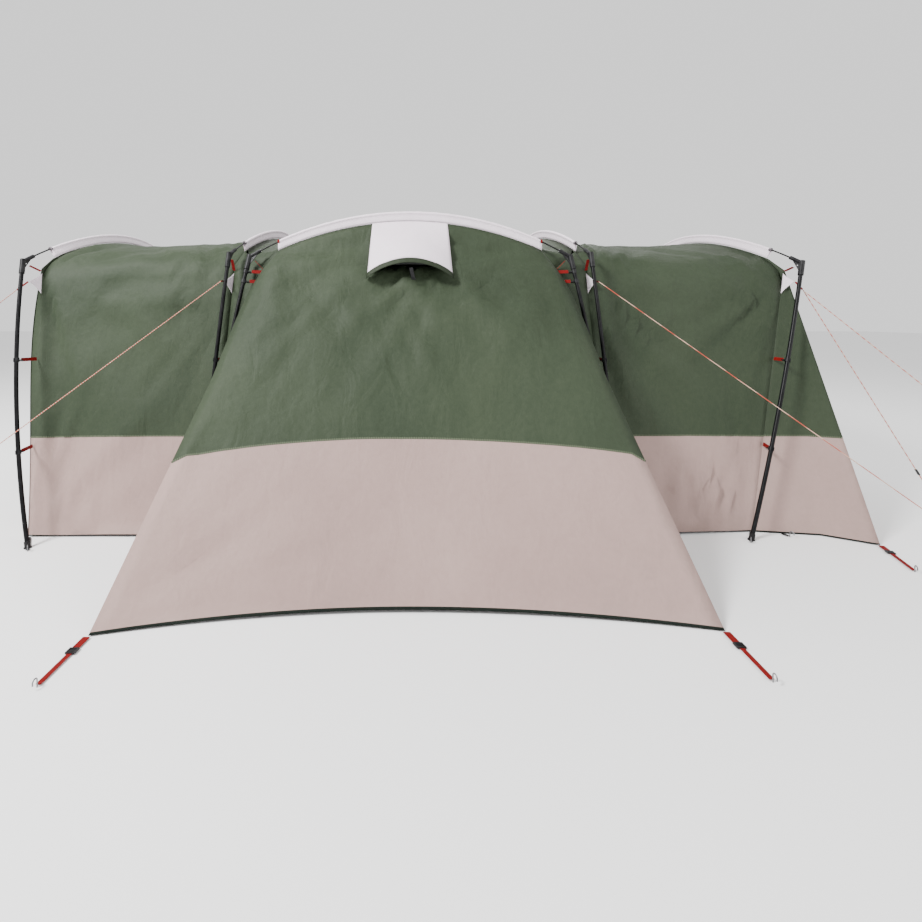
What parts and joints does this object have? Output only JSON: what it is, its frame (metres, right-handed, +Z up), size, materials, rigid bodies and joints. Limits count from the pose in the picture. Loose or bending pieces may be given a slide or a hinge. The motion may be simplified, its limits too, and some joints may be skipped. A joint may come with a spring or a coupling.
{
  "type": "frame tent",
  "caption": "Long frame tent on external black pole arches, with two wings, a sloping front pod, a sloping end, zip doors, a roof vent and guy lines.",
  "frame": {"origin": "middle of the footprint of tent, poles and ground straps, on the ground, without the guy lines", "axes": "+Z up, -Y toward the front pod, +X toward the sloping end, units metres"},
  "size_m": [7.3362, 4.492, 2.0788],
  "materials": {
    "black_tube": "satin",
    "black_rod": "satin",
    "black_moulding": "matte",
    "orange_cord": "matte",
    "peg_steel": "satin",
    "red_webbing": "matte",
    "black_webbing": "matte",
    "beige_cloth": "matte",
    "dark_mesh": "matte",
    "zip_metal": "satin",
    "roof_cloth": "matte",
    "wall_cloth": "matte"
  },
  "bodies": {
    "tent": {"left_end_upright_front": "black_tube", "left_end_upright_rear": "black_tube", "left_end_roof_rod": "black_rod", "left_inner_upright_front": "black_tube", "left_inner_upright_rear": "black_tube", "left_inner_roof_rod": "black_rod", "right_inner_upright_front": "black_tube", "right_inner_upright_rear": "black_tube", "right_inner_roof_rod": "black_rod", "right_end_upright_front": "black_tube", "right_end_upright_rear": "black_tube", "right_end_roof_rod": "black_rod", "front_upright_left": "black_tube", "front_upright_right": "black_tube", "front_roof_rod": "black_rod", "end_arch_elbows": "black_moulding", "inner_arch_elbows": "black_moulding", "front_arch_elbows": "black_moulding", "pole_feet": "black_moulding", "left_front_wall": "wall_cloth", "left_rear_wall": "wall_cloth", "left_roof": "roof_cloth", "left_end_wall": "wall_cloth", "centre_roof": "roof_cloth", "centre_rear_wall": "wall_cloth", "right_front_wall": "wall_cloth", "right_rear_wall": "wall_cloth", "right_roof": "roof_cloth", "right_end_slope": "wall_cloth", "right_end_sides": "wall_cloth", "front_pod_slope": "wall_cloth", "front_pod_side_left": "wall_cloth", "front_pod_side_right": "wall_cloth", "front_corner_panels": "wall_cloth", "vent_mesh": "dark_mesh", "vent_hood": "beige_cloth", "pole_sleeves": "beige_cloth", "pole_clips": "black_moulding", "foot_straps": "black_webbing", "corner_straps": "red_webbing", "corner_buckles": "black_moulding", "guy_panels": "beige_cloth", "left_inner_guy_line": "orange_cord", "right_inner_guy_line": "orange_cord", "left_end_guy_line": "orange_cord", "right_end_steep_guy_line": "orange_cord", "right_end_long_guy_line": "orange_cord", "webbing_tabs": "red_webbing", "ground_pegs": "peg_steel", "guy_pegs": "peg_steel"},
    "left_door": {"left_end_door": "wall_cloth"},
    "left_zip": {"left_zip_slider": "zip_metal"},
    "rear_door_flap": {"rear_door": "wall_cloth"},
    "rear_zip": {"rear_zip_slider": "zip_metal"},
    "prop": {"vent_prop": "black_moulding"},
    "left_inner_adjuster": {"left_inner_runner": "black_moulding"},
    "right_inner_adjuster": {"right_inner_runner": "black_moulding"},
    "left_end_adjuster": {"left_end_runner": "black_moulding"},
    "right_end_steep_adjuster": {"right_end_steep_runner": "black_moulding"},
    "right_end_long_adjuster": {"right_end_long_runner": "black_moulding"}
  },
  "joints": [
    {"name": "left_door_hinge", "type": "hinge", "parent": "tent", "child": "left_door", "pos_m": [-2.44311, 0.95554, 0.2], "axis": [0.1013, 0, -0.9949], "range_deg": [0, 100]},
    {"name": "left_zip_slide", "type": "slide", "parent": "left_door", "child": "left_zip", "axis": [-0.1013, 0, 0.9949], "range_m": [0, 1.02]},
    {"name": "rear_door_hinge", "type": "hinge", "parent": "tent", "child": "rear_door_flap", "pos_m": [-0.63175, 1.77179, 0.2], "axis": [0, -0.202, 0.9794], "range_deg": [0, 100]},
    {"name": "rear_zip_slide", "type": "slide", "parent": "rear_door_flap", "child": "rear_zip", "axis": [0, -0.202, 0.9794], "range_m": [0, 1.02]},
    {"name": "vent_prop_fold", "type": "hinge", "parent": "tent", "child": "prop", "pos_m": [-0.06413, -0.95961, 1.5781], "axis": [-1, 0, 0], "range_deg": [0, 36], "deforming": ["vent_hood"]},
    {"name": "left_inner_runner_slide", "type": "slide", "parent": "tent", "child": "left_inner_adjuster", "axis": [0.7327, 0.26, 0.629], "range_m": [0, 0.2]},
    {"name": "right_inner_runner_slide", "type": "slide", "parent": "tent", "child": "right_inner_adjuster", "axis": [-0.7498, 0.2535, 0.6111], "range_m": [0, 0.2]},
    {"name": "left_end_runner_slide", "type": "slide", "parent": "tent", "child": "left_end_adjuster", "axis": [0.4651, 0.5348, 0.7055], "range_m": [0, 0.2]},
    {"name": "right_end_steep_runner_slide", "type": "slide", "parent": "tent", "child": "right_end_steep_adjuster", "axis": [-0.4169, 0.1749, 0.892], "range_m": [0, 0.2]},
    {"name": "right_end_long_runner_slide", "type": "slide", "parent": "tent", "child": "right_end_long_adjuster", "axis": [-0.529, 0.4472, 0.7212], "range_m": [0, 0.2]}
  ]
}
